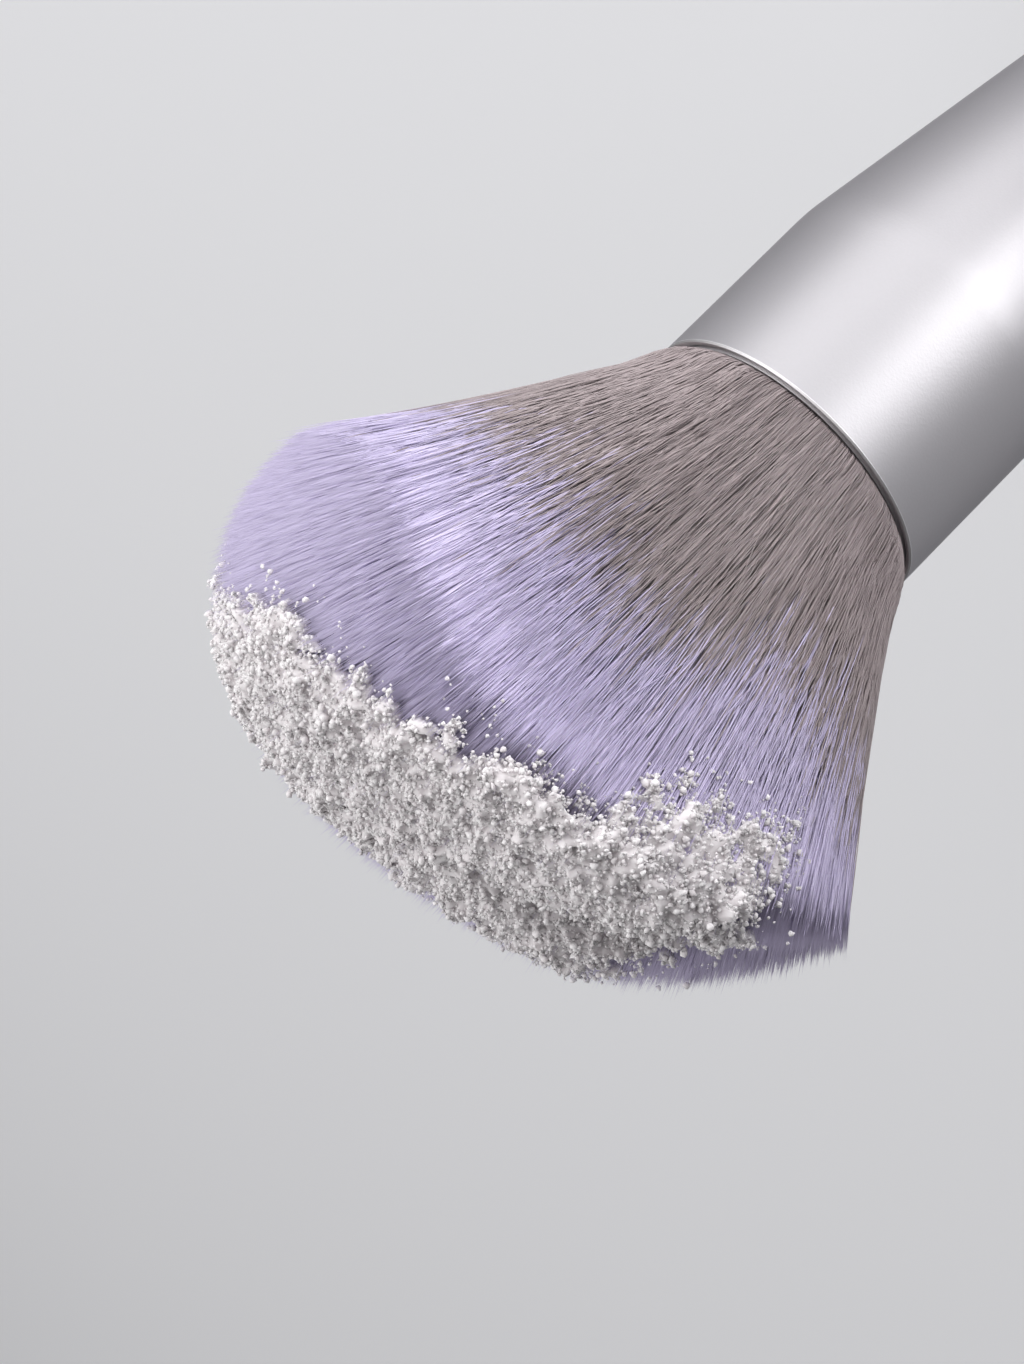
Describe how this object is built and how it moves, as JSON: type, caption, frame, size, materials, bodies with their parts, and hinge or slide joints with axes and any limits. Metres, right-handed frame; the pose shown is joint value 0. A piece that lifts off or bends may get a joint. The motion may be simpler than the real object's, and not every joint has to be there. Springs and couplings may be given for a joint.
{
  "type": "kabuki makeup brush",
  "caption": "Weighted, tapered metal-handled kabuki brush that stands on its foot: a full domed head, pressed oval, of soft tip-dyed fibres held in a ferrule inside the rim.",
  "frame": {"origin": "centre of the flat face under the foot", "axes": "+Z along the handle's axis, from the foot to the crown of the bristles; +X towards the side where the crown is a little higher"},
  "size_m": [0.0644, 0.0412, 0.118],
  "materials": {
    "foot_cap_metal": "satin silver, turned",
    "weight_steel": "plain turned steel",
    "core_plastic": "moulded grey plastic",
    "shell_metal": "fine satin silver, bright cut edge at the rim",
    "ferrule_metal": "bright drawn aluminium",
    "resin": "cured amber resin",
    "binding_thread": "waxed thread",
    "bristle_fibre": "soft synthetic fibre, taupe at the root and lavender at the tip"
  },
  "bodies": {
    "root": {"foot_cap": "foot_cap_metal", "balance_weight": "weight_steel", "handle_core": "core_plastic", "handle_shell": "shell_metal", "hair_ferrule": "ferrule_metal", "resin_plug": "resin", "binding_cord": "binding_thread", "bristle_bundle": "bristle_fibre"}
  },
  "joints": []
}
